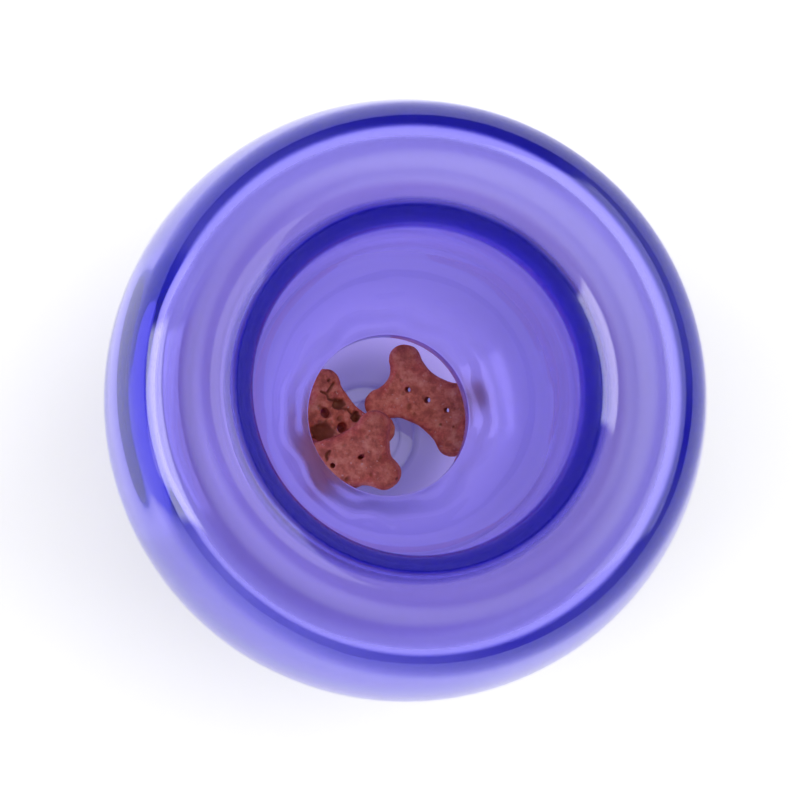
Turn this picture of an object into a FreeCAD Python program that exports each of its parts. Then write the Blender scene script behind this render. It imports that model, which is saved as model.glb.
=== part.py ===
import FreeCAD, Part
import Sketcher
import math
import os

# A soft, hollow treat ball that stands on its foot, with a deep crater in its top.
# The base of the foot is at z = 0 and the ball's axis is the Z axis. Lengths are in millimetres.

SIZES = [
    ("ball_diameter", 101.6),
    ("shell_wall", 5.4),
    ("foot_diameter", 20.0),
    ("rim_height", 62.2),
    ("throat_diameter", 55.0),
    ("throat_straight", 7.7),
    ("bowl_wall", 3.6),
    ("hole_diameter", 28.0),
    ("lip_round", 0.6),
    ("lap_length", 4.0),
    ("lap_wall", 1.8),
    ("dimple_outer", 17.0),
    ("dimple_inner", 12.0),
    ("dimple_step", 0.45),
    ("treat_length", 19.6),
    ("short_treat_length", 18.4),
    ("treat_width", 14.1),
    ("treat_waist", 8.7),
    ("treat_lobe", 2.7),
    ("treat_notch", 1.8),
    ("treat_thickness", 6.0),
    ("treat_edge", 1.4),
    ("pin_diameter", 1.0),
    ("wide_pin_diameter", 1.8),
    ("pin_pitch", 3.9),
    ("pin_count", 3),
    ("treat_clearance", 0.3),
    ("right_east", 10.25),
    ("right_north", 5.6),
    ("right_heading", -27.3),
    ("left_east", -5.9),
    ("left_north", 0.15),
    ("left_heading", -40.0),
    ("top_east", -7.15),
    ("top_north", -6.8),
    ("top_heading", 20.0),
    ("top_lean", 20.0),
    ("top_lean_way", 215.0),
    ("top_sink", 0.2),
]

document = FreeCAD.newDocument("TreatBall")
sheet = document.addObject("Spreadsheet::Sheet", "Sizes")
for row, (alias, value) in enumerate(SIZES, start=1):
    sheet.set(f"A{row}", alias)
    sheet.set(f"B{row}", str(value))
    sheet.setAlias(f"B{row}", alias)
document.recompute()


def size(alias):
    return float(sheet.get(alias))


def point(x, y):
    return FreeCAD.Vector(x, y, 0)


def new_body(label):
    body = document.addObject("PartDesign::Body", label)
    body.Label = label
    return body


def new_sketch(body, name, plane_role):
    plane = next(item for item in body.Origin.OriginFeatures if item.Role == plane_role)
    sketch = body.newObject("Sketcher::SketchObject", name)
    sketch.AttachmentSupport = [(plane, "")]
    sketch.MapMode = "FlatFace"
    return sketch


# Sketch elements: the ends and the centre of an edge, and the sketch's own origin and axes
START, END, CENTRE = 1, 2, 3
ORIGIN = (-1, 1)
ACROSS_AXIS, UP_AXIS = -1, -2

# Two lengths that differ by less than this count as the same
MATCH = 0.01


def add_line(sketch, start, end):
    return sketch.addGeometry(Part.LineSegment(point(*start), point(*end)), False)


def add_arc(sketch, centre, radius, from_angle, to_angle):
    circle = Part.Circle(point(*centre), FreeCAD.Vector(0, 0, 1), radius)
    return sketch.addGeometry(Part.ArcOfCircle(circle, from_angle, to_angle), False)


def add_mark(sketch, x, y):
    return sketch.addGeometry(Part.Point(point(x, y)), True)


def join(sketch, *ends):
    for (first, first_end), (second, second_end) in zip(ends[::2], ends[1::2]):
        sketch.addConstraint(Sketcher.Constraint("Coincident", first, first_end, second, second_end))


def smooth(sketch, first, first_end, second, second_end):
    sketch.addConstraint(Sketcher.Constraint("Tangent", first, first_end, second, second_end))


def lay(sketch, kind, *edges):
    for edge in edges:
        sketch.addConstraint(Sketcher.Constraint(kind, edge))


def level(sketch, first, first_end, second, second_end):
    sketch.addConstraint(Sketcher.Constraint("Horizontal", first, first_end, second, second_end))


def plumb(sketch, first, first_end, second, second_end):
    sketch.addConstraint(Sketcher.Constraint("Vertical", first, first_end, second, second_end))


def hold_on(sketch, edge, end, target):
    sketch.addConstraint(Sketcher.Constraint("PointOnObject", edge, end, target))


def bind(sketch, name, constraint, expression):
    index = sketch.addConstraint(constraint)
    sketch.renameConstraint(index, name)
    sketch.setExpression(f"Constraints.{name}", expression)


def measure(sketch, name, kind, edge, end, value, expression):
    bind(sketch, name, Sketcher.Constraint(kind, *ORIGIN, edge, end, value), expression)


def radius_of(sketch, name, edge, value, expression):
    bind(sketch, name, Sketcher.Constraint("Radius", edge, value), expression)


def revolve(body, sketch, name):
    turned = body.newObject("PartDesign::Revolution", name)
    turned.Profile = sketch
    turned.ReferenceAxis = (sketch, ["V_Axis"])
    turned.Angle = 360
    sketch.Visibility = False
    document.recompute()
    return turned


# Heights and radii that both mouldings and the treats are placed by
ball_radius = size("ball_diameter") / 2
cavity_radius = ball_radius - size("shell_wall")
foot_radius = size("foot_diameter") / 2
centre_height = math.sqrt(ball_radius**2 - foot_radius**2)
rim_height = size("rim_height")
throat_radius = size("throat_diameter") / 2
bowl_back_radius = throat_radius + size("bowl_wall")
lap_radius = throat_radius + size("lap_wall")
lap_foot_height = rim_height - size("lap_length")
bowl_centre_height = rim_height - size("throat_straight")
hole_radius = size("hole_diameter") / 2


def tube_inside(outer_radius, inner_radius):
    # Radius of the arc, centred at the rim's height, that touches a ball and an upright line inside it
    rise = rim_height - centre_height
    return (outer_radius**2 - rise**2 - inner_radius**2) / (2 * (outer_radius + inner_radius))


# Ball shell: foot, ball and rim outside, and the cavity with its stepped dimple inside
def make_ball_shell():
    body = new_body("ball_shell")
    section = new_sketch(body, "shell_section", "XZ_Plane")
    rim_radius = tube_inside(ball_radius, throat_radius)
    hollow_radius = tube_inside(cavity_radius, bowl_back_radius)
    rise = rim_height - centre_height
    rim_angle = math.atan2(rise, throat_radius + rim_radius)
    hollow_angle = math.atan2(rise, bowl_back_radius + hollow_radius)
    foot_angle = -math.acos(foot_radius / ball_radius)
    outer_dimple = size("dimple_outer") / 2
    inner_dimple = size("dimple_inner") / 2
    step = size("dimple_step")
    floor_angle = -math.acos(outer_dimple / cavity_radius)
    floor_height = centre_height + cavity_radius * math.sin(floor_angle)

    base = add_line(section, (0, 0), (foot_radius, 0))
    ball = add_arc(section, (0, centre_height), ball_radius, foot_angle, rim_angle)
    rim = add_arc(section, (throat_radius + rim_radius, rim_height), rim_radius, rim_angle, math.pi)
    lap_top = add_line(section, (throat_radius, rim_height), (lap_radius, rim_height))
    lap_side = add_line(section, (lap_radius, rim_height), (lap_radius, lap_foot_height))
    lap_foot = add_line(section, (lap_radius, lap_foot_height), (bowl_back_radius, lap_foot_height))
    skirt = add_line(section, (bowl_back_radius, lap_foot_height), (bowl_back_radius, rim_height))
    hollow_centre = (bowl_back_radius + hollow_radius, rim_height)
    hollow = add_arc(section, hollow_centre, hollow_radius, hollow_angle, math.pi)
    cavity = add_arc(section, (0, centre_height), cavity_radius, floor_angle, hollow_angle)
    first_riser = add_line(section, (outer_dimple, floor_height), (outer_dimple, floor_height - step))
    ledge = add_line(section, (outer_dimple, floor_height - step), (inner_dimple, floor_height - step))
    second_riser = add_line(
        section, (inner_dimple, floor_height - step), (inner_dimple, floor_height - 2 * step)
    )
    dimple = add_line(section, (inner_dimple, floor_height - 2 * step), (0, floor_height - 2 * step))
    axis = add_line(section, (0, floor_height - 2 * step), (0, 0))

    join(section, (base, START), ORIGIN, (base, END), (ball, START), (lap_top, START), (rim, END))
    join(section, (lap_top, END), (lap_side, START), (lap_side, END), (lap_foot, START))
    join(section, (lap_foot, END), (skirt, START), (skirt, END), (hollow, END))
    join(section, (cavity, START), (first_riser, START), (first_riser, END), (ledge, START))
    join(section, (ledge, END), (second_riser, START), (second_riser, END), (dimple, START))
    join(section, (dimple, END), (axis, START), (axis, END), ORIGIN, (cavity, CENTRE), (ball, CENTRE))
    smooth(section, ball, END, rim, START)
    smooth(section, hollow, START, cavity, END)
    lay(section, "Horizontal", base, lap_top, lap_foot, ledge, dimple)
    lay(section, "Vertical", lap_side, skirt, first_riser, second_riser, axis)
    hold_on(section, ball, CENTRE, UP_AXIS)
    level(section, rim, CENTRE, rim, END)
    level(section, hollow, CENTRE, hollow, END)
    level(section, hollow, END, rim, END)

    measure(section, "foot", "DistanceX", base, END, foot_radius, "Sizes.foot_diameter / 2")
    radius_of(section, "ball", ball, ball_radius, "Sizes.ball_diameter / 2")
    radius_of(section, "cavity", cavity, cavity_radius, "Sizes.ball_diameter / 2 - Sizes.shell_wall")
    measure(section, "throat", "DistanceX", rim, END, throat_radius, "Sizes.throat_diameter / 2")
    measure(section, "rim", "DistanceY", rim, END, rim_height, "Sizes.rim_height")
    measure(
        section, "lap", "DistanceX", lap_top, END, lap_radius, "Sizes.throat_diameter / 2 + Sizes.lap_wall"
    )
    measure(
        section, "lap_foot", "DistanceY", lap_side, END, lap_foot_height,
        "Sizes.rim_height - Sizes.lap_length",
    )
    measure(
        section, "back", "DistanceX", lap_foot, END, bowl_back_radius,
        "Sizes.throat_diameter / 2 + Sizes.bowl_wall",
    )
    measure(section, "outer_dimple", "DistanceX", first_riser, START, outer_dimple, "Sizes.dimple_outer / 2")
    measure(section, "inner_dimple", "DistanceX", ledge, END, inner_dimple, "Sizes.dimple_inner / 2")
    bind(
        section, "first_step",
        Sketcher.Constraint("DistanceY", first_riser, END, first_riser, START, step), "Sizes.dimple_step",
    )
    bind(
        section, "second_step",
        Sketcher.Constraint("DistanceY", second_riser, END, second_riser, START, step), "Sizes.dimple_step",
    )
    revolve(body, section, "shell_turned")
    return body


# Crater bowl: the tongue in the shell's lap, the straight throat, the round bowl and the treat hole
def make_crater_bowl():
    body = new_body("crater_bowl")
    section = new_sketch(body, "bowl_section", "XZ_Plane")
    edge_angle = -math.acos(hole_radius / throat_radius)
    back_angle = -math.acos(hole_radius / bowl_back_radius)
    edge_height = bowl_centre_height + throat_radius * math.sin(edge_angle)
    back_height = bowl_centre_height + bowl_back_radius * math.sin(back_angle)

    tongue_top = add_line(section, (throat_radius, rim_height), (lap_radius, rim_height))
    tongue_side = add_line(section, (lap_radius, rim_height), (lap_radius, lap_foot_height))
    shoulder = add_line(section, (lap_radius, lap_foot_height), (bowl_back_radius, lap_foot_height))
    back_wall = add_line(
        section, (bowl_back_radius, lap_foot_height), (bowl_back_radius, bowl_centre_height)
    )
    back = add_arc(section, (0, bowl_centre_height), bowl_back_radius, back_angle, 0)
    hole = add_line(section, (hole_radius, back_height), (hole_radius, edge_height))
    bowl = add_arc(section, (0, bowl_centre_height), throat_radius, edge_angle, 0)
    throat = add_line(section, (throat_radius, bowl_centre_height), (throat_radius, rim_height))

    join(section, (tongue_top, END), (tongue_side, START), (tongue_side, END), (shoulder, START))
    join(section, (shoulder, END), (back_wall, START), (back_wall, END), (back, END))
    join(section, (back, START), (hole, START), (hole, END), (bowl, START))
    join(section, (bowl, END), (throat, START), (throat, END), (tongue_top, START))
    join(section, (back, CENTRE), (bowl, CENTRE))
    lay(section, "Horizontal", tongue_top, shoulder)
    lay(section, "Vertical", tongue_side, back_wall, hole, throat)
    hold_on(section, bowl, CENTRE, UP_AXIS)
    level(section, bowl, CENTRE, bowl, END)
    level(section, back, CENTRE, back, END)

    measure(section, "rim", "DistanceY", throat, END, rim_height, "Sizes.rim_height")
    measure(section, "throat", "DistanceX", throat, END, throat_radius, "Sizes.throat_diameter / 2")
    measure(
        section, "lap", "DistanceX", tongue_top, END, lap_radius, "Sizes.throat_diameter / 2 + Sizes.lap_wall"
    )
    measure(
        section, "lap_foot", "DistanceY", tongue_side, END, lap_foot_height,
        "Sizes.rim_height - Sizes.lap_length",
    )
    measure(
        section, "back", "DistanceX", shoulder, END, bowl_back_radius,
        "Sizes.throat_diameter / 2 + Sizes.bowl_wall",
    )
    measure(
        section, "centre", "DistanceY", bowl, CENTRE, bowl_centre_height,
        "Sizes.rim_height - Sizes.throat_straight",
    )
    measure(section, "hole", "DistanceX", hole, END, hole_radius, "Sizes.hole_diameter / 2")
    turned = revolve(body, section, "bowl_turned")

    lips = [
        f"Edge{number}"
        for number, edge in enumerate(turned.Shape.Edges, start=1)
        if isinstance(edge.Curve, Part.Circle)
        and abs(edge.Curve.Axis.z) > 1 - MATCH
        and abs(edge.Curve.Radius - hole_radius) < MATCH
    ]
    rounded = body.newObject("PartDesign::Fillet", "lip_rounded")
    rounded.Base = (turned, lips)
    rounded.setExpression("Radius", "Sizes.lip_round")
    document.recompute()
    return body


# Bone treat: four round lobes, a waist, a notch in each end and a row of three baking pin holes
def make_treat(label, length_alias, pin_alias):
    body = new_body(label)
    outline = new_sketch(body, f"{label}_outline", "XY_Plane")
    lobe = size("treat_lobe")
    lobe_x = size(length_alias) / 2 - lobe
    lobe_y = size("treat_width") / 2 - lobe
    waist = size("treat_waist") / 2
    notch = size(length_alias) / 2 - size("treat_notch")
    waist_round = (lobe_x**2 + (lobe_y - waist) ** 2 - lobe**2) / (2 * (lobe + lobe_y - waist))
    notch_round = (lobe_y**2 + (lobe_x - notch) ** 2 - lobe**2) / (2 * (lobe + lobe_x - notch))
    waist_angle = math.atan2(waist + waist_round - lobe_y, lobe_x)
    notch_angle = math.atan2(lobe_y, notch + notch_round - lobe_x)

    upper_right = add_arc(outline, (lobe_x, lobe_y), lobe, -notch_angle, math.pi - waist_angle)
    upper_left = add_arc(outline, (-lobe_x, lobe_y), lobe, waist_angle, math.pi + notch_angle)
    lower_left = add_arc(
        outline, (-lobe_x, -lobe_y), lobe, math.pi - notch_angle, 2 * math.pi - waist_angle
    )
    lower_right = add_arc(outline, (lobe_x, -lobe_y), lobe, math.pi + waist_angle, 2 * math.pi + notch_angle)
    top_waist = add_arc(
        outline, (0, waist + waist_round), waist_round, math.pi + waist_angle, 2 * math.pi - waist_angle
    )
    bottom_waist = add_arc(
        outline, (0, -waist - waist_round), waist_round, waist_angle, math.pi - waist_angle
    )
    right_notch = add_arc(
        outline, (notch + notch_round, 0), notch_round, math.pi - notch_angle, math.pi + notch_angle
    )
    left_notch = add_arc(outline, (-notch - notch_round, 0), notch_round, -notch_angle, notch_angle)
    waist_mark = add_mark(outline, 0, waist)
    notch_mark = add_mark(outline, notch, 0)

    smooth(outline, upper_right, END, top_waist, END)
    smooth(outline, top_waist, START, upper_left, START)
    smooth(outline, upper_left, END, left_notch, END)
    smooth(outline, left_notch, START, lower_left, START)
    smooth(outline, lower_left, END, bottom_waist, END)
    smooth(outline, bottom_waist, START, lower_right, START)
    smooth(outline, lower_right, END, right_notch, END)
    smooth(outline, right_notch, START, upper_right, START)
    for other in (upper_left, lower_left, lower_right):
        outline.addConstraint(Sketcher.Constraint("Equal", upper_right, other))
    level(outline, upper_right, CENTRE, upper_left, CENTRE)
    level(outline, lower_right, CENTRE, lower_left, CENTRE)
    plumb(outline, upper_right, CENTRE, lower_right, CENTRE)
    plumb(outline, upper_left, CENTRE, lower_left, CENTRE)
    outline.addConstraint(
        Sketcher.Constraint("Symmetric", upper_right, CENTRE, lower_left, CENTRE, *ORIGIN)
    )
    hold_on(outline, waist_mark, START, UP_AXIS)
    hold_on(outline, waist_mark, START, top_waist)
    hold_on(outline, notch_mark, START, ACROSS_AXIS)
    hold_on(outline, notch_mark, START, right_notch)
    outline.addConstraint(Sketcher.Constraint("Equal", top_waist, bottom_waist))
    outline.addConstraint(Sketcher.Constraint("Equal", right_notch, left_notch))

    radius_of(outline, "lobe", upper_right, lobe, "Sizes.treat_lobe")
    measure(
        outline, "across", "DistanceX", upper_right, CENTRE, lobe_x,
        f"Sizes.{length_alias} / 2 - Sizes.treat_lobe",
    )
    measure(
        outline, "up", "DistanceY", upper_right, CENTRE, lobe_y, "Sizes.treat_width / 2 - Sizes.treat_lobe"
    )
    measure(outline, "waist", "DistanceY", waist_mark, START, waist, "Sizes.treat_waist / 2")
    measure(
        outline, "notch", "DistanceX", notch_mark, START, notch,
        f"Sizes.{length_alias} / 2 - Sizes.treat_notch",
    )

    slab = body.newObject("PartDesign::Pad", f"{label}_slab")
    slab.Profile = outline
    slab.Midplane = True
    slab.setExpression("Length", "Sizes.treat_thickness")
    document.recompute()

    face_edges = [
        f"Edge{number}"
        for number, edge in enumerate(slab.Shape.Edges, start=1)
        if abs(edge.BoundBox.ZLength) < MATCH
    ]
    rounded = body.newObject("PartDesign::Fillet", f"{label}_rounded")
    rounded.Base = (slab, face_edges)
    rounded.setExpression("Radius", "Sizes.treat_edge")
    document.recompute()

    pin_place = new_sketch(body, f"{label}_pin", "XY_Plane")
    first_pin = (size("pin_count") - 1) / 2 * size("pin_pitch")
    pin_circle = Part.Circle(point(-first_pin, 0), FreeCAD.Vector(0, 0, 1), size(pin_alias) / 2)
    pin = pin_place.addGeometry(pin_circle, False)
    hold_on(pin_place, pin, CENTRE, ACROSS_AXIS)
    bind(
        pin_place, "first_pin",
        Sketcher.Constraint("DistanceX", pin, CENTRE, *ORIGIN, first_pin),
        "(Sizes.pin_count - 1) / 2 * Sizes.pin_pitch",
    )
    radius_of(pin_place, "pin", pin, size(pin_alias) / 2, f"Sizes.{pin_alias} / 2")
    pin_hole = body.newObject("PartDesign::Pocket", f"{label}_pin_hole")
    pin_hole.Profile = pin_place
    pin_hole.Type = "ThroughAll"
    pin_hole.Midplane = True
    row_of_holes = body.newObject("PartDesign::LinearPattern", f"{label}_pin_holes")
    row_of_holes.Originals = [pin_hole]
    row_of_holes.Direction = (pin_place, ["H_Axis"])
    row_of_holes.setExpression("Occurrences", "Sizes.pin_count")
    row_of_holes.setExpression("Length", "(Sizes.pin_count - 1) * Sizes.pin_pitch")
    body.Tip = row_of_holes
    document.recompute()
    return body


# Places a treat: its middle, the way it points, and how far and which way its face leans
def place_treat(body, middle, heading, lean, lean_way):
    way = math.radians(lean_way)
    turn = FreeCAD.Rotation(FreeCAD.Vector(0, 0, 1), heading)
    tip = FreeCAD.Rotation(FreeCAD.Vector(-math.sin(way), math.cos(way), 0), lean)
    body.Placement = FreeCAD.Placement(FreeCAD.Vector(*middle), tip.multiply(turn))


# A treat that lies on the round floor leans toward the ball's axis, and only its corners touch
def place_on_floor(body, name, length_alias):
    east, north = size(f"{name}_east"), size(f"{name}_north")
    lobe = size("treat_lobe")
    reach = math.hypot(size(length_alias) / 2 - lobe, size("treat_width") / 2 - lobe)
    reach += lobe - size("treat_edge")
    seat = math.sqrt(cavity_radius**2 - reach**2) - size("treat_clearance") - size("treat_thickness") / 2
    aside = math.hypot(east, north)
    height = centre_height - math.sqrt(seat**2 - aside**2)
    lean = math.degrees(math.asin(aside / seat))
    lean_way = math.degrees(math.atan2(-north, -east))
    place_treat(body, (east, north, height), size(f"{name}_heading"), lean, lean_way)


# The top treat has its right end on the treat below, where it sinks past the rounded edge,
# and its left end on the floor
def place_on_treat(body, name, below):
    rise = size("treat_thickness") + size("treat_clearance") - size(f"{name}_sink")
    middle = (size(f"{name}_east"), size(f"{name}_north"), below.Placement.Base.z + rise)
    place_treat(body, middle, size(f"{name}_heading"), size(f"{name}_lean"), size(f"{name}_lean_way"))


ball_shell = make_ball_shell()
crater_bowl = make_crater_bowl()
treat_right = make_treat("treat_right", "treat_length", "pin_diameter")
treat_left = make_treat("treat_left", "short_treat_length", "wide_pin_diameter")
treat_top = make_treat("treat_top", "treat_length", "pin_diameter")
place_on_floor(treat_right, "right", "treat_length")
place_on_floor(treat_left, "left", "short_treat_length")
place_on_treat(treat_top, "top", treat_left)

subparts = [ball_shell, crater_bowl, treat_right, treat_left, treat_top]
document.recompute()
for item in document.Objects:
    if "Invalid" in item.State or "Error" in item.State:
        raise RuntimeError(f"{item.Label} failed: {item.State}")
for item in document.Objects:
    if item.TypeId == "Sketcher::SketchObject" and not item.FullyConstrained:
        raise RuntimeError(f"{item.Label} is not fully constrained")
for body in subparts:
    if body.Shape.isNull() or not body.Shape.isValid() or len(body.Shape.Solids) != 1:
        raise RuntimeError(f"{body.Label} is not one valid solid")

os.makedirs("parts", exist_ok=True)
for body in subparts:
    body.Shape.exportStep(f"parts/{body.Label}.step")
    print(f"{body.Label}: {body.Shape.Volume:.0f} mm3")
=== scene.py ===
import math
import bmesh
import bpy
from mathutils import Matrix, Vector, noise


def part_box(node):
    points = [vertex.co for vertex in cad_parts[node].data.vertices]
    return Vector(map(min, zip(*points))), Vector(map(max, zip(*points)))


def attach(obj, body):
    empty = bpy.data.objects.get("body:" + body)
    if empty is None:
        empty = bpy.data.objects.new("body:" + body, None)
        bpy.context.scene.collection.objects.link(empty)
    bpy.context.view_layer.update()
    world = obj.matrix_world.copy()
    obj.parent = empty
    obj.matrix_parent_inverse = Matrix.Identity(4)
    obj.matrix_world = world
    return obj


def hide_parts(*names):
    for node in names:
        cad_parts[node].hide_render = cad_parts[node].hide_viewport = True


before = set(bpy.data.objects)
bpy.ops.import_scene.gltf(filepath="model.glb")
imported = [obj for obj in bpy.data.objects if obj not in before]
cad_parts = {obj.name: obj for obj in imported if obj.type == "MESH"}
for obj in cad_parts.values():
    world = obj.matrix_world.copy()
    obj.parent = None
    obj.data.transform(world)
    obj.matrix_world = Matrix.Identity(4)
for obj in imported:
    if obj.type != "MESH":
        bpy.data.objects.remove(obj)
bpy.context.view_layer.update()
print("frame loaded:", ", ".join(sorted(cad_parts)))

bounces = 48  # light runs round inside the clear wall by total reflection
scene = bpy.context.scene
scene.view_settings.view_transform = "Standard"
scene.cycles.max_bounces = bounces
scene.cycles.transmission_bounces = bounces
scene.cycles.glossy_bounces = bounces

mm = 0.001  # sizes in the dictionaries are millimetres, where no note says otherwise


def addPiece(name, mesh, material):
    piece = bpy.data.objects.new(name, mesh)
    scene.collection.objects.link(piece)
    mesh.materials.clear()
    mesh.materials.append(material)
    return piece


def newMaterial(name):
    material = bpy.data.materials.new(name)
    material.use_nodes = True
    return material, material.node_tree, material.node_tree.nodes["Principled BSDF"]


def addNode(tree, kind, **values):
    node = tree.nodes.new(kind)
    for key, value in values.items():
        if key in node.inputs:
            node.inputs[key].default_value = value
        else:
            setattr(node, key, value)
    return node


def objectNoise(tree, **values):
    # noise that reads Object coordinates
    place = addNode(tree, "ShaderNodeTexCoord")
    pattern = addNode(tree, "ShaderNodeTexNoise", **values)
    tree.links.new(place.outputs["Object"], pattern.inputs["Vector"])
    return pattern


def ramp(tree, source, stops):
    made = addNode(tree, "ShaderNodeValToRGB")
    elements = made.color_ramp.elements
    while len(elements) < len(stops):
        elements.new(0.5)
    for element, (place, colour) in zip(elements, stops):
        element.position = place
        element.color = (*colour, 1)
    tree.links.new(source, made.inputs["Fac"])
    return made


def easeOut(distance, near, far):
    # 1 up to near, then smoothly down to 0 at far
    share = min(1.0, max(0.0, (far - distance) / (far - near)))
    return share * share * (3 - 2 * share)


# The clear ball: the outer shell and the crater bowl bonded into it

ball = {
    "radius": 50.8,
    "wall": 5.4,
    "footRadius": 10.0,
    "rimHeight": 62.2,
    "throatRadius": 27.5,
    "throatStraight": 7.7,
    "bowlWall": 3.6,
    "throatWall": 4.5,  # thicker than the bowl's, to make the dark ring as wide as the real one
    "hollowRound": 3.3,
    "holeRadius": 14.0,
    "lipRound": 0.9,
    "lipStart": 0.35,  # this and the next two are in parts of the lip's round
    "lipTop": ((0.12, 0.12), (0.02, 0.36), (0, 0.7)),  # out and down
    "lipFoot": ((0, 0.7), (0.04, 0.32), (0.15, 0.1), (0.4, 0)),  # out and up
    "bondGroove": 0.07,
    "dimples": (8.5, 6.0),
    "dimpleStep": 0.6,
    "besideStep": 0.5,
    "arcSteps": {
        "outside": 72, "rim": 48, "bowl": 40, "back": 40, "corner": 24, "hollow": 30, "cavity": 64,
    },
    "segments": 256,
    "sharpAngle": 40,
}
centreHeight = math.sqrt(ball["radius"] ** 2 - ball["footRadius"] ** 2)
rimRise = ball["rimHeight"] - centreHeight
bowlHeight = ball["rimHeight"] - ball["throatStraight"]
cavityRadius = ball["radius"] - ball["wall"]
bowlBack = ball["throatRadius"] + ball["bowlWall"]
throatBack = ball["throatRadius"] + ball["throatWall"]
ballMiddle = Vector((0, 0, centreHeight))
bowlMiddle = Vector((0, 0, bowlHeight))


def tubeInside(outerRadius, innerRadius):
    # radius of the tube that touches the ball's sphere and the throat, with its centre at rim height
    return (outerRadius ** 2 - innerRadius ** 2 - rimRise ** 2) / (2 * (outerRadius + innerRadius))


rimTube = tubeInside(ball["radius"], ball["throatRadius"])
hollowTube = tubeInside(cavityRadius, bowlBack)
hollowAngle = math.degrees(math.atan2(rimRise, bowlBack + hollowTube))


def drawLine(bm, pen, x, z):
    end = bm.verts.new((x, 0, z))
    bm.edges.new((pen, end))
    return end


def drawArc(bm, pen, centre, degrees, steps):
    turned = bmesh.ops.spin(
        bm, geom=[pen], cent=(centre[0], 0, centre[1]), axis=(0, -1, 0),
        angle=math.radians(degrees), steps=steps,
    )
    return turned["geom_last"][0]


def drawOutside(bm):
    # the foot, the sphere, the rolled rim, and the straight throat with the groove of the bond
    throat, groove, steps = ball["throatRadius"], ball["bondGroove"], ball["arcSteps"]
    footAngle = math.degrees(math.acos(ball["footRadius"] / ball["radius"]))
    rimAngle = math.degrees(math.atan2(rimRise, throat + rimTube))
    pen = bm.verts.new((0, 0, 0))
    pen = drawLine(bm, pen, ball["footRadius"], 0)
    pen = drawArc(bm, pen, (0, centreHeight), footAngle + rimAngle, steps["outside"])
    pen = drawArc(bm, pen, (throat + rimTube, ball["rimHeight"]), 180 - rimAngle, steps["rim"])
    for step in (1, 2, 3):
        pen = drawLine(bm, pen, throat + groove * (step % 2 == 0), ball["rimHeight"] - step * groove)
    pen = drawLine(bm, pen, throat, bowlHeight + ball["throatStraight"] / 2)
    return drawLine(bm, pen, throat, bowlHeight)


def drawBowl(bm, pen):
    # the inside of the bowl, and the wall of the treat hole between its two rounded edges
    hole, lip = ball["holeRadius"], ball["lipRound"]
    topAngle = math.degrees(math.acos((hole + lip * ball["lipStart"]) / ball["throatRadius"]))
    pen = drawArc(bm, pen, (0, bowlHeight), -topAngle, ball["arcSteps"]["bowl"])
    top = pen.co.z
    foot = bowlHeight - math.sqrt(bowlBack ** 2 - (hole + lip * ball["lipFoot"][-1][0]) ** 2)
    for out, down in ball["lipTop"]:
        pen = drawLine(bm, pen, hole + lip * out, top - lip * down)
    for out, lift in ball["lipFoot"]:
        pen = drawLine(bm, pen, hole + lip * out, foot + lip * lift)
    return pen


def drawBack(bm, pen):
    # the bowl's back thickens a little towards the throat, and the hollow above it is squarer inside
    steps, corner = ball["arcSteps"], ball["hollowRound"]
    run, drop = throatBack - pen.co.x, bowlHeight - pen.co.z
    backRound = (run ** 2 + drop ** 2) / (2 * run)
    lowAngle = math.degrees(math.asin(drop / backRound))
    hollowTop = ball["rimHeight"] + hollowTube
    pen = drawArc(bm, pen, (throatBack - backRound, bowlHeight), lowAngle, steps["back"])
    pen = drawLine(bm, pen, throatBack, (bowlHeight + hollowTop - corner) / 2)
    pen = drawLine(bm, pen, throatBack, hollowTop - corner)
    pen = drawArc(bm, pen, (throatBack + corner, hollowTop - corner), -90, steps["corner"])
    return drawLine(bm, pen, bowlBack + hollowTube, hollowTop)


def drawCavity(bm, pen):
    # the outer half of the hollow, the round cavity, and the stepped disc in its floor
    steps, beside = ball["arcSteps"], ball["besideStep"]
    floorAngle = math.degrees(math.acos(ball["dimples"][0] / cavityRadius))
    pen = drawArc(bm, pen, (bowlBack + hollowTube, ball["rimHeight"]), hollowAngle - 90, steps["hollow"])
    pen = drawArc(bm, pen, (0, centreHeight), -hollowAngle - floorAngle, steps["cavity"])
    for radius in ball["dimples"]:
        if pen.co.x > radius + 2 * beside:
            pen = drawLine(bm, pen, radius + beside, pen.co.z)
            pen = drawLine(bm, pen, radius, pen.co.z)
        pen = drawLine(bm, pen, radius, pen.co.z - ball["dimpleStep"])
        pen = drawLine(bm, pen, radius - beside, pen.co.z)
    drawLine(bm, pen, 0, pen.co.z)


def markEdges(bm):
    # smooth all over, apart from sharp corners and the foot's edge, which shows as a fine ring
    for face in bm.faces:
        face.smooth = True
    for edge in bm.edges:
        if len(edge.link_faces) == 2 and edge.calc_face_angle() > math.radians(ball["sharpAngle"]):
            edge.smooth = False
        ends = [v.co for v in edge.verts]
        if all(abs(c.z) < 0.001 and abs(c.xy.length - ball["footRadius"]) < 0.01 for c in ends):
            edge.smooth = False


# How matte each region of the ball is, and how much painted shade darkens its colour

regions = {
    "matte": 0.45,  # on the cavity's side, where 0 is polished and 1 is the rubber's cavityMatte
    "matteOverRim": 6.5,
    "backMatte": 2.2,  # times the matte on the back of the bowl and throat
    "backFoot": 14.0,  # but only over this height, which leaves out the cavity's floor
    "backFade": (4.0, 16.0),  # starts this far under the bowl's middle, and is full so much lower
    "shades": {"upper": 0.35, "lower": 0.7, "disc": 0.82, "step": 0.93, "hole": 1.0},
    "holeWallUnder": 20.0,  # under the bowl's middle
    "discHeights": (2.0, 12.0),
    "discMargin": 0.6,
    "stepBand": (-0.1, 0.4),
    "lowerTop": 35.0,
    "upperFrom": 1.0,  # out from the throat
}


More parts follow.
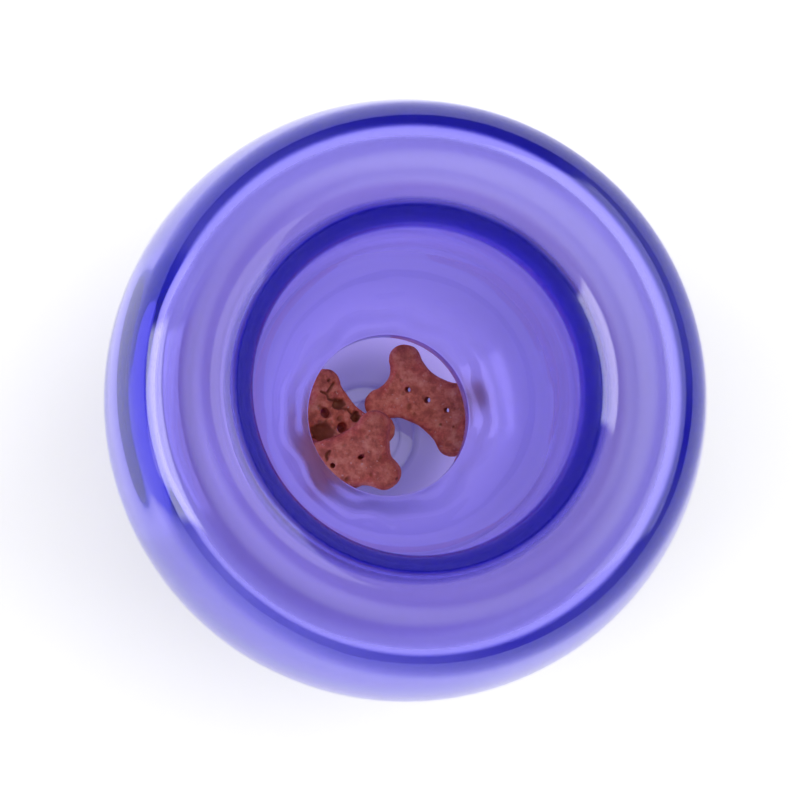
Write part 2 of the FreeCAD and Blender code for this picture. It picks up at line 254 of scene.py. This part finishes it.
def matteAt(place):
    fromMiddle, fromBowl = (place - ballMiddle).length, (place - bowlMiddle).length
    inCavity = fromMiddle < cavityRadius + 0.01 and (fromBowl > bowlBack - 0.3 or place.z > bowlHeight)
    onThroat = place.xy.length < throatBack + 0.1 and place.z < ball["rimHeight"] + 0.1
    matte = regions["matte"] * float(inCavity and place.z < ball["rimHeight"] + regions["matteOverRim"])
    if onThroat and place.z > regions["backFoot"]:
        start, length = regions["backFade"]
        matte *= regions["backMatte"] * min(1.0, max(0.0, (bowlHeight - start - place.z) / length))
    return matte


# painted shade: darker colours on the lower shell, the cavity's floor disc and its steps and the treat
# hole's wall, and a slightly darker one on the upper outside and rim, standing in for shade seen through
# the clear rubber
def shadeAt(place):
    shades, radius = regions["shades"], place.xy.length
    discFoot, discTop = regions["discHeights"]
    bandStart, bandEnd = regions["stepBand"]
    if abs(radius - ball["holeRadius"]) < 0.02 and place.z < bowlHeight - regions["holeWallUnder"]:
        return shades["hole"]
    if radius < ball["dimples"][0] + regions["discMargin"] and discFoot < place.z < discTop:
        nearStep = any(bandStart < radius - step < bandEnd for step in ball["dimples"])
        return shades["step"] if nearStep else shades["disc"]
    if place.z < regions["lowerTop"] and (place - ballMiddle).length > cavityRadius - 0.1:
        return shades["lower"]
    if radius > ball["throatRadius"] + regions["upperFrom"]:
        return shades["upper"]
    return 0.0


# The moulding's small departures from a true round

waves = {
    "flatFoot": 2.0,  # nothing moves below this height
    "depth": 0.05, "length": 17.0,
    "turns": 3,  # how fast the patterns change round the ball
    "flowDepth": 0.012, "flowLength": 1.6,  # faint lines that run round the rim
    "ringDepth": 0.17, "ringSpacing": 4.2, "ringSpan": (15.0, 24.0),  # soft rings round the treat hole
    "ringWarp": 0.8, "ringWarpLength": 9, "ringWarpPhase": 4,
    # the stretch at the left where the inside of the wall is polished and tilts a little
    "tiltAzimuth": 181, "tiltHalfWidth": 30, "tiltHeight": 58, "tiltReach": 9, "tiltDepth": 0.3,
    "tiltCore": 0.5, "polishFrom": 14.0, "polishEdge": (0.8, 1.1),
}


def roughenRound(vert, place, azimuth):
    # shallow waves all over, flow lines on the rim and rings in the bowl
    radius = place.xy.length
    turnX = waves["turns"] * math.cos(math.radians(azimuth))
    turnY = waves["turns"] * math.sin(math.radians(azimuth))
    vert.co += vert.normal * noise.noise(place / waves["length"]) * waves["depth"]
    if place.z > ball["rimHeight"] and (place - ballMiddle).length > cavityRadius + 1:
        around = Vector((radius / waves["flowLength"], turnX, turnY))
        vert.co += vert.normal * noise.noise(around) * waves["flowDepth"]
    start, end = waves["ringSpan"]
    throat, hole = ball["throatRadius"], ball["holeRadius"]
    inBowl = radius < throat - 0.5 and (place - bowlMiddle).length < throat + 0.5
    if inBowl and radius > hole + 0.5:
        around = Vector((turnX, turnY, radius / waves["ringWarpLength"]))
        warp = waves["ringWarp"] * noise.noise(around)
        phase = math.tau * (radius - start) / waves["ringSpacing"] + waves["ringWarpPhase"] * warp
        vert.co += vert.normal * waves["ringDepth"] * math.sin(phase) * easeOut(radius, start, end)


def tiltWall(vert, place, azimuth, cavitySide):
    if not vert[cavitySide] or place.xy.length <= throatBack + 2:
        return
    halfWidth = waves["tiltHalfWidth"]
    aside = abs((azimuth - waves["tiltAzimuth"] + 180) % 360 - 180)
    above = (place.z - waves["tiltHeight"]) / waves["tiltReach"]
    if aside < halfWidth and abs(above) < 1:
        core = easeOut(aside, halfWidth * waves["tiltCore"], halfWidth)
        push = waves["tiltDepth"] * math.sin(math.pi * above) * core
        vert.co += Vector((place.x, place.y, 0)).normalized() * push
    if place.z > waves["polishFrom"]:
        near, far = waves["polishEdge"]
        vert[cavitySide] *= 1 - easeOut(aside, halfWidth * near, halfWidth * far)


def makeBallMesh():
    bm = bmesh.new()
    pen = drawOutside(bm)
    pen = drawBowl(bm, pen)
    pen = drawBack(bm, pen)
    drawCavity(bm, pen)
    bmesh.ops.spin(
        bm, geom=bm.verts[:] + bm.edges[:], cent=(0, 0, 0), axis=(0, 0, 1),
        angle=math.tau, steps=ball["segments"], use_merge=True,
    )
    bmesh.ops.remove_doubles(bm, verts=bm.verts[:], dist=0.001)
    bmesh.ops.recalc_face_normals(bm, faces=bm.faces[:])
    markEdges(bm)
    cavitySide = bm.verts.layers.float.new("cavitySide")
    shade = bm.verts.layers.float.new("shade")
    for vert in bm.verts:
        vert[cavitySide] = matteAt(vert.co)
        vert[shade] = shadeAt(vert.co)
    for vert in bm.verts:
        if vert.co.z >= waves["flatFoot"]:
            place = vert.co.copy()
            azimuth = math.degrees(math.atan2(place.y, place.x))
            roughenRound(vert, place, azimuth)
            tiltWall(vert, place, azimuth, cavitySide)
    bmesh.ops.scale(bm, vec=(mm, mm, mm), verts=bm.verts[:])
    mesh = bpy.data.meshes.new("clear_ball")
    bm.to_mesh(mesh)
    bm.free()
    return mesh


rubber = {
    "paintedShadeColours": (  # place on the shade attribute, and the colour of the painted shade there
        (0.0, (1.0, 0.99, 1.0)),
        (0.35, (0.90, 0.86, 0.90)),
        (0.7, (0.70, 0.60, 0.84)),
        (1.0, (0.15, 0.11, 0.40)),
    ),
    "clear": 1.0,
    "index": 1.5,
    "polished": 0.02,
    "cavityMatte": 0.5,
    "absorbed": (0.09, 0.096, 0.0035),  # per millimetre, in red, green and blue
    "rippleHeight": 0.015, "rippleStrength": 0.35, "rippleScale": 90, "rippleDetail": 2,
}


def makeRubber():
    material, tree, shader = newMaterial("clearRubber")
    # painted shade: the ramp darkens the rubber's colour where the shade attribute marks it
    shade = addNode(tree, "ShaderNodeAttribute", attribute_name="shade")
    paintedShadeRamp = ramp(tree, shade.outputs["Fac"], rubber["paintedShadeColours"])
    tree.links.new(paintedShadeRamp.outputs["Color"], shader.inputs["Base Color"])
    shader.inputs["IOR"].default_value = rubber["index"]
    shader.inputs["Transmission Weight"].default_value = rubber["clear"]
    cavitySide = addNode(tree, "ShaderNodeAttribute", attribute_name="cavitySide")
    rough = addNode(tree, "ShaderNodeMapRange")
    rough.inputs["To Min"].default_value = rubber["polished"]
    rough.inputs["To Max"].default_value = rubber["cavityMatte"]
    tree.links.new(cavitySide.outputs["Fac"], rough.inputs["Value"])
    tree.links.new(rough.outputs["Result"], shader.inputs["Roughness"])
    ripples = objectNoise(tree, Scale=rubber["rippleScale"], Detail=rubber["rippleDetail"])
    bump = addNode(
        tree, "ShaderNodeBump", Strength=rubber["rippleStrength"], Distance=rubber["rippleHeight"] * mm,
    )
    tree.links.new(ripples.outputs["Fac"], bump.inputs["Height"])
    tree.links.new(bump.outputs["Normal"], shader.inputs["Normal"])
    most = max(rubber["absorbed"])
    inside = addNode(tree, "ShaderNodeVolumeAbsorption", Density=most / mm)
    inside.inputs["Color"].default_value = (*(1 - a / most for a in rubber["absorbed"]), 1)
    tree.links.new(inside.outputs["Volume"], tree.nodes["Material Output"].inputs["Volume"])
    return material


clearBall = addPiece("clear_ball", makeBallMesh(), makeRubber())
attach(clearBall, "ball")
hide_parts("ball_shell", "crater_bowl")
print("clear ball:", len(clearBall.data.polygons), "faces")

# The bone biscuits. A push is a middle, a reach and a move, a pit is a middle, a radius and a depth,
# and a crack is a line of points. Pits and cracks are on the upper side only

biscuits = {
    "treat_right": {
        "body": "right_biscuit", "piece": "biscuit_right",
        "middle": (10.25, 5.6, 10.434), "heading": -27.3, "lean": 16.52, "leanWay": -151.35,
        "seed": 3.0, "halfLength": 9.8,
        "pushes": (((0.5, -4.4), 4.5, (0, -0.4, 0)), ((-7.1, -4.3), 5.0, (-0.1, -0.3, 0)),
                   ((7.1, -4.4), 5.0, (0, -0.2, -0.2)), ((-7.1, 4.4), 5.0, (0, 0, -0.25))),
        "pits": ((-2.3, -2.4, 0.6, 0.28), (-0.9, -2.9, 0.4, 0.2), (4.1, -2.6, 0.3, 0.4),
                 (4.3, 1.5, 0.45, 0.2), (-4.3, -0.9, 0.5, 0.22), (6.3, -1.9, 0.28, 0.3),
                 (2.9, -4.2, 0.35, 0.2), (-0.5, 0.1, 0.55, 0.25), (-5.6, 0.9, 0.5, 0.18)),
        "cracks": (),
    },
    "treat_left": {
        "body": "left_biscuit", "piece": "biscuit_left",
        "middle": (-5.9, 0.15, 9.057), "heading": -40.0, "lean": 8.24, "leanWay": -1.46,
        "seed": 11.0, "halfLength": 9.2,
        "pushes": (((-6.5, 4.4), 5.5, (-0.6, 0, -0.2)), ((6.5, 4.4), 5.5, (-1.0, 0.7, 0)),
                   ((6.5, -4.4), 5.5, (0.6, 0.3, 0)), ((-0.8, 4.4), 4.5, (0, 0.7, -0.2)),
                   ((-2.2, -4.2), 3.5, (0, 0.3, -0.9))),
        "pits": ((-2.95, 2.5, 1.15, 1.7), (0.6, 2.75, 1.05, 1.6), (-1.9, -2.9, 2.6, 1.1),
                 (-3.7, 0.25, 1.25, 0.5), (-6.6, 4.9, 0.4, 0.5), (-4.3, 4.0, 0.35, 0.25),
                 (-1.3, 0.9, 0.6, 0.35), (-5.2, 0.1, 0.7, 0.3), (1.1, 0.1, 0.7, 0.4)),
        "cracks": (((-6.3, 2.45), (-5.2, 2.75), (-4.6, 2.35), (-3.6, 2.6)),
                   ((-5.4, 3.2), (-5.6, 5.3)), ((-2.2, 2.2), (-1.2, 2.6), (-0.2, 2.5))),
    },
    "treat_top": {
        "body": "top_biscuit", "piece": "biscuit_top",
        "middle": (-7.15, -6.8, 15.157), "heading": 20.0, "lean": 20.0, "leanWay": 215.0,
        "seed": 23.0, "halfLength": 9.8,
        "pushes": (((7.1, 4.4), 8.2, (1.9, -0.3, 0)), ((7.1, -4.4), 8.2, (0.7, -0.1, 0)),
                   ((1.5, 4.4), 4.5, (0, 0.35, 0))),
        "pits": ((9.1, -5.8, 0.35, 0.4), (0.0, 2.0, 0.4, 0.3), (-0.6, 1.5, 0.3, 0.25),
                 (5.3, -3.6, 0.5, 0.3), (4.0, -0.8, 0.3, 0.25), (2.2, 2.5, 0.3, 0.2),
                 (7.0, -1.2, 0.4, 0.2), (5.6, 3.0, 0.35, 0.2), (1.4, -3.0, 0.45, 0.35)),
        "cracks": (((0.2, 2.3), (-0.5, 1.9), (-0.6, 1.2)),),
    },
}
dough = {
    "voxel": 0.15,
    "smoothing": 0.5, "smoothings": 3,
    "lobeCentre": (2.7, 4.35),  # inwards from the end, and out from the middle line
    "rimWidth": 1.6, "rimSteepness": 1.2,
    "lumpDepth": 0.13, "lumpLength": 3.4,
    "grainDepth": 0.055, "grainLength": 0.5, "grainMix": (0.9, 2.0, 3),  # the fractal's own settings
    "pitDepth": 0.16, "pitSpacing": 1.3, "pitShare": 0.4, "pitRound": 0.24, "pitScatter": 7.0,
    "softCore": 0.35,  # the share of a push, pit or crack that has its full depth
    "cutFrom": 0.3,  # pits and cracks go only into faces that look up at least so much
    "cutWobble": 0.35, "wobbleScale": 1.3,
    "deepAt": 0.5,
    "crackWidth": 0.3, "crackDepth": 0.55, "crackStep": 0.12,
    "top": ((0.36, (0.52, 0.120, 0.065)), (0.50, (0.76, 0.200, 0.110)), (0.66, (0.92, 0.360, 0.21))),
    "rim": ((0.36, (0.55, 0.105, 0.062)), (0.50, (0.77, 0.160, 0.095)), (0.66, (0.90, 0.30, 0.18))),
    "mottle": {"Scale": 520, "Detail": 6, "Roughness": 0.66},
    "crumbs": {"Scale": 1500, "Detail": 5, "Roughness": 0.6},
    "fleck": (0.85, 0.50, 0.40), "fleckSpread": (0.64, 0.72),
    # painted shade: the pits and cracks darken towards this colour as they sink, up to this share
    "deep": (0.16, 0.045, 0.02), "deepShare": 0.75,
    "roughness": 0.82, "specular": 0.3,
    "bumpStrength": 0.7, "bumpHeight": 0.1,
}


def placeOf(facts):
    tiltAxis = Matrix.Rotation(math.radians(facts["leanWay"] + 90), 3, "Z") @ Vector((1, 0, 0))
    turn = Matrix.Rotation(math.radians(facts["lean"]), 4, tiltAxis)
    turn = turn @ Matrix.Rotation(math.radians(facts["heading"]), 4, "Z")
    return Matrix.Translation(facts["middle"]) @ turn


def remeshed(mesh, voxel):
    # one closed skin of small even faces
    carrier = bpy.data.objects.new("carrier", mesh)
    scene.collection.objects.link(carrier)
    skin = carrier.modifiers.new("skin", "REMESH")
    skin.mode = "VOXEL"
    skin.voxel_size = voxel
    made = bpy.data.meshes.new_from_object(
        carrier.evaluated_get(bpy.context.evaluated_depsgraph_get())
    )
    bpy.data.objects.remove(carrier)
    return made


def listCuts(facts):
    # the pits, and each crack as a row of small pits
    cuts = [(Vector((x, y)), radius, depth) for x, y, radius, depth in facts["pits"]]
    spacing = dough["crackStep"]
    for line in facts["cracks"]:
        for start, end in zip(line, line[1:]):
            run = Vector(end) - Vector(start)
            for step in range(int(run.length / spacing) + 1):
                spot = Vector(start) + run * (step * spacing / run.length)
                cuts.append((spot, dough["crackWidth"], dough["crackDepth"]))
    return cuts


def sunkAt(vert, spot, cuts):
    # how deep the cuts have sunk this point of the upper side
    if vert.co.z <= 0 or vert.normal.z <= dough["cutFrom"]:
        return 0.0
    sunk = 0.0
    wobble = 1 + dough["cutWobble"] * noise.noise(spot * dough["wobbleScale"])
    for middle, radius, depth in cuts:
        away = (vert.co.xy - middle).length * wobble
        if away < radius:
            sunk = max(sunk, depth * easeOut(away, radius * dough["softCore"], radius))
    return sunk


def crumbAt(spot):
    # lumps, grain and scattered pin pricks
    lump = noise.noise(spot / dough["lumpLength"]) * dough["lumpDepth"]
    grain = noise.fractal(spot / dough["grainLength"], *dough["grainMix"]) * dough["grainDepth"]
    distances, centres = noise.voronoi(spot / dough["pitSpacing"])
    chosen = noise.cell(centres[0] * dough["pitScatter"]) < dough["pitShare"]
    pit = max(0.0, 1 - distances[0] / dough["pitRound"]) * dough["pitDepth"] if chosen else 0.0
    return lump + grain - pit


def rimShareAt(vert, halfLength):
    # 0 well inside the upper and lower faces, and 1 on the baked rim
    lobeIn, lobeOut = dough["lobeCentre"]
    lobeAlong = halfLength - lobeIn
    flat = vert.co.xy
    inLobe = lobeIn - (Vector((abs(flat.x), abs(flat.y))) - Vector((lobeAlong, lobeOut))).length
    inWaist = lobeOut - abs(flat.y) if abs(flat.x) < lobeAlong else 0.0
    inside = min(1.0, max(inLobe, inWaist, 0.0) / dough["rimWidth"])
    return 1 - inside * min(1.0, abs(vert.normal.z) * dough["rimSteepness"])


def sculptBiscuit(bm, facts):
    rimZone = bm.verts.layers.float.new("rim")
    deepZone = bm.verts.layers.float.new("deep")
    shift = Vector((facts["seed"], facts["seed"] * 1.7, facts["seed"] * 2.3))
    cuts = listCuts(facts)
    moves = []
    for vert in bm.verts:
        spot = vert.co + shift
        sunk = sunkAt(vert, spot, cuts)
        vert[rimZone] = rimShareAt(vert, facts["halfLength"])
        # painted shade in the pits and cracks, darker the deeper they sink
        vert[deepZone] = min(1.0, sunk / dough["deepAt"])
        move = vert.normal * crumbAt(spot) - Vector((0, 0, sunk))
        for middle, radius, push in facts["pushes"]:
            away = (vert.co.xy - Vector(middle)).length
            move += Vector(push) * easeOut(away, radius * dough["softCore"], radius)
        moves.append(move)
    for vert, move in zip(bm.verts, moves):
        vert.co += move


def makeBiscuit(node, facts, material):
    # the CAD biscuit, laid flat at the origin, remeshed, sculpted and put back
    place = placeOf(facts)
    bm = bmesh.new()
    bm.from_mesh(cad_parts[node].data)
    bmesh.ops.remove_doubles(bm, verts=bm.verts[:], dist=1e-6)
    bmesh.ops.scale(bm, vec=(1 / mm,) * 3, verts=bm.verts[:])
    bmesh.ops.transform(bm, matrix=place.inverted(), verts=bm.verts[:])
    blank = bpy.data.meshes.new("blank")
    bm.to_mesh(blank)
    bm.free()

    fine = remeshed(blank, dough["voxel"])
    bm = bmesh.new()
    bm.from_mesh(fine)
    for _ in range(dough["smoothings"]):
        bmesh.ops.smooth_vert(
            bm, verts=bm.verts[:], factor=dough["smoothing"],
            use_axis_x=True, use_axis_y=True, use_axis_z=True,
        )
    bm.normal_update()
    sculptBiscuit(bm, facts)
    for face in bm.faces:
        face.smooth = True
    bmesh.ops.transform(bm, matrix=place, verts=bm.verts[:])
    bmesh.ops.scale(bm, vec=(mm, mm, mm), verts=bm.verts[:])
    mesh = bpy.data.meshes.new(facts["piece"])
    bm.to_mesh(mesh)
    bm.free()
    return addPiece(facts["piece"], mesh, material)


def mixColours(tree, share, first, second):
    # on the Mix node, inputs 6 and 7 are the two colours and output 2 is their mix
    mixed = addNode(tree, "ShaderNodeMix", data_type="RGBA")
    tree.links.new(share, mixed.inputs["Factor"])
    for socket, source in ((mixed.inputs[6], first), (mixed.inputs[7], second)):
        if isinstance(source, tuple):
            socket.default_value = (*source, 1)
        else:
            tree.links.new(source, socket)
    return mixed.outputs[2]


def makeDough():
    material, tree, shader = newMaterial("bakedDough")
    shader.inputs["Roughness"].default_value = dough["roughness"]
    shader.inputs["Specular IOR Level"].default_value = dough["specular"]
    mottle = objectNoise(tree, **dough["mottle"])
    top = ramp(tree, mottle.outputs["Fac"], dough["top"])
    rim = ramp(tree, mottle.outputs["Fac"], dough["rim"])
    rimZone = addNode(tree, "ShaderNodeAttribute", attribute_name="rim")
    deepZone = addNode(tree, "ShaderNodeAttribute", attribute_name="deep")
    colour = mixColours(tree, rimZone.outputs["Fac"], top.outputs["Color"], rim.outputs["Color"])
    crumbs = objectNoise(tree, **dough["crumbs"])
    start, end = dough["fleckSpread"]
    flecks = ramp(tree, crumbs.outputs["Fac"], ((start, (0, 0, 0)), (end, (1, 1, 1))))
    colour = mixColours(tree, flecks.outputs["Color"], colour, dough["fleck"])
    # painted shade: the pits and cracks darken with their depth
    depth = addNode(tree, "ShaderNodeMapRange")
    depth.inputs["To Max"].default_value = dough["deepShare"]
    tree.links.new(deepZone.outputs["Fac"], depth.inputs["Value"])
    colour = mixColours(tree, depth.outputs["Result"], colour, dough["deep"])
    tree.links.new(colour, shader.inputs["Base Color"])
    bump = addNode(
        tree, "ShaderNodeBump", Strength=dough["bumpStrength"], Distance=dough["bumpHeight"] * mm,
    )
    tree.links.new(crumbs.outputs["Fac"], bump.inputs["Height"])
    tree.links.new(bump.outputs["Normal"], shader.inputs["Normal"])
    return material


bakedDough = makeDough()
for node, facts in biscuits.items():
    biscuit = makeBiscuit(node, facts, bakedDough)
    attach(biscuit, facts["body"])
    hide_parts(node)
    low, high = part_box(node)
    ends = [Vector(c) for c in biscuit.bound_box]
    print(facts["piece"], len(biscuit.data.polygons), "faces; centre off by",
          [round((sum(c[k] for c in ends) / 8 - (low[k] + high[k]) / 2) / mm, 2) for k in range(3)])

# The floor, the light and the camera

studio = {
    "floorHalf": 3.0,  # this and the next are in metres
    "floorDrop": 0.0002,
    "floorColour": (0.95, 0.95, 0.96),
    "floorGlow": 0.34,
    # from and to in metres round the ball's axis, and the glow added there, chosen so that the clear
    # rubber shows the photograph's colours; the last one runs out to the white background
    # painted light and shade: a bright ring on the floor under the ball, dimmer again at its middle, and
    # brighter far out
    "paintedFloorLight": ((0.042, 0.024, 0.42), (0.022, 0.011, -0.44), (0.052, 0.11, 0.18)),
    "skyBase": 0.06,
    "softLights": (  # azimuth, elevation, half width in degrees, strength
        (30, 10, 30, 0.6), (120, 10, 30, 0.2), (150, 10, 30, 0.3), (180, 10, 30, 0.3),
        (210, 10, 30, 0.5), (240, 10, 30, 0.4), (270, 10, 30, 0.4), (330, 10, 30, 0.4),
        (120, 38, 42, 0.3), (240, 38, 42, 0.1), (0, 90, 24, 1.9),
    ),
    "softCore": 0.14,  # the share of the half width that has the full strength
    "softBoxes": (  # azimuth, elevation, half width, half height, soft edge in degrees, strength
        (184, 19, 24, 16, 4, 5.5),
        (14, 36, 34, 20, 4, 1.9),
    ),
    "boxFront": (0.3, 0.5),  # a box fades in between these, so that it doesn't show behind as well
    "frame": 800,  # the picture's width in pixels
    "cameraDistance": 800.0,
    "lean": 11.7,
    "leanWay": 41.6,
    "ballPixels": 301.9,  # the ball's radius in the picture
    "ballPixel": (408.1, 402.0),  # and its middle
    "ballOffset": (2.6, 1.4),  # how far perspective moves that middle, in pixels
    "sensor": 36,
    "clipStart": 0.01,
}


def rayKinds(tree, names):
    # 1 where any of the named kinds of ray sees the surface
    path = addNode(tree, "ShaderNodeLightPath")
    total = path.outputs[names[0]]
    for name in names[1:]:
        larger = addNode(tree, "ShaderNodeMath", operation="MAXIMUM")
        tree.links.new(total, larger.inputs[0])
        tree.links.new(path.outputs[name], larger.inputs[1])
        total = larger.outputs["Value"]
    return total


def combine(tree, operation, first, second=None):
    made = addNode(tree, "ShaderNodeMath", operation=operation)
    tree.links.new(first, made.inputs[0])
    if second is not None:
        tree.links.new(second, made.inputs[1])
    return made.outputs["Value"]


def fade(tree, source, start, end, height):
    # rises smoothly from nothing at start to the height at end
    soft = addNode(tree, "ShaderNodeMapRange", interpolation_type="SMOOTHSTEP")
    for key, value in (("From Min", start), ("From Max", end), ("To Max", height)):
        soft.inputs[key].default_value = value
    tree.links.new(source, soft.inputs["Value"])
    return soft.outputs["Result"]


def makeFloor():
    bm = bmesh.new()
    bmesh.ops.create_grid(bm, x_segments=2, y_segments=2, size=studio["floorHalf"])
    bmesh.ops.translate(bm, vec=(0, 0, -studio["floorDrop"]), verts=bm.verts[:])
    mesh = bpy.data.meshes.new("floor")
    bm.to_mesh(mesh)
    bm.free()
    material, tree, shader = newMaterial("paleFloor")
    shader.inputs["Base Color"].default_value = (*studio["floorColour"], 1)
    shader.inputs["Roughness"].default_value = 1.0
    shader.inputs["Specular IOR Level"].default_value = 0.0
    shader.inputs["Emission Color"].default_value = (1, 1, 1, 1)
    seen = rayKinds(tree, ("Is Camera Ray", "Is Glossy Ray", "Is Transmission Ray"))
    even = addNode(tree, "ShaderNodeMath", operation="MULTIPLY")
    tree.links.new(seen, even.inputs[0])
    even.inputs[1].default_value = studio["floorGlow"]
    away = addNode(tree, "ShaderNodeVectorMath", operation="LENGTH")
    tree.links.new(addNode(tree, "ShaderNodeTexCoord").outputs["Object"], away.inputs[0])
    glowAndPaintedLight = even.outputs["Value"]
    # painted light and shade on the floor, in rings round the ball's axis, added to the even glow
    for start, end, strength in studio["paintedFloorLight"]:
        zone = fade(tree, away.outputs["Value"], start, end, strength)
        glowAndPaintedLight = combine(tree, "ADD", glowAndPaintedLight, combine(tree, "MULTIPLY", seen, zone))
    tree.links.new(glowAndPaintedLight, shader.inputs["Emission Strength"])
    return addPiece("floor", mesh, material)


def axesAt(azimuth, elevation):
    turn = Matrix.Rotation(math.radians(azimuth), 3, "Z")
    turn = turn @ Matrix.Rotation(math.radians(-elevation), 3, "Y")
    return [turn @ Vector(axis) for axis in ((1, 0, 0), (0, 1, 0), (0, 0, 1))]


def makeWorld():
    world = bpy.data.worlds.new("studioWorld")
    scene.world = world
    world.use_nodes = True
    tree = world.node_tree
    skyPoint = addNode(tree, "ShaderNodeTexCoord").outputs["Generated"]

    def along(direction):
        near = addNode(tree, "ShaderNodeVectorMath", operation="DOT_PRODUCT")
        near.inputs[1].default_value = direction
        tree.links.new(skyPoint, near.inputs[0])
        return near.outputs["Value"]

    base = addNode(tree, "ShaderNodeValue")
    base.outputs[0].default_value = studio["skyBase"]
    total = base.outputs[0]
    for azimuth, elevation, halfWidth, strength in studio["softLights"]:
        rim, core = (math.cos(math.radians(halfWidth * share)) for share in (1, studio["softCore"]))
        patch = fade(tree, along(axesAt(azimuth, elevation)[0]), rim, core, strength)
        total = combine(tree, "ADD", total, patch)
    for azimuth, elevation, halfWidth, halfHeight, edge, strength in studio["softBoxes"]:
        ahead, across, above = axesAt(azimuth, elevation)
        box = fade(tree, along(ahead), *studio["boxFront"], strength)
        for axis, half in ((across, halfWidth), (above, halfHeight)):
            aside = combine(tree, "ABSOLUTE", along(axis))
            outer, inner = (math.sin(math.radians(half + grow)) for grow in (edge / 2, -edge / 2))
            box = combine(tree, "MULTIPLY", box, fade(tree, aside, outer, inner, 1.0))
        total = combine(tree, "ADD", total, box)
    tree.links.new(total, tree.nodes["Background"].inputs["Strength"])
    tree.nodes["Background"].inputs["Color"].default_value = (1, 1, 1, 1)


def addCamera():
    lean, way = math.radians(studio["lean"]), math.radians(studio["leanWay"])
    back = Vector((-math.sin(lean) * math.cos(way), -math.sin(lean) * math.sin(way), math.cos(lean)))
    top = (Vector((0, 1, 0)) - back * back.y).normalized()
    side = top.cross(back)
    data = bpy.data.cameras.new("camera")
    data.sensor_width = studio["sensor"]
    edge = math.tan(math.asin(ball["radius"] / studio["cameraDistance"]))
    data.lens = studio["ballPixels"] / edge / studio["frame"] * studio["sensor"]
    x, y = (studio["ballPixel"][k] - studio["frame"] / 2 - studio["ballOffset"][k] for k in (0, 1))
    data.shift_x = -x / studio["frame"]
    data.shift_y = y / studio["frame"]
    data.clip_start = studio["clipStart"]
    camera = bpy.data.objects.new("camera", data)
    scene.collection.objects.link(camera)
    turn = Matrix((side, top, back)).transposed().to_4x4()
    middle = Vector((0, 0, centreHeight * mm))
    camera.matrix_world = Matrix.Translation(middle + back * studio["cameraDistance"] * mm) @ turn
    scene.camera = camera


makeFloor()
makeWorld()
addCamera()
print("studio ready")
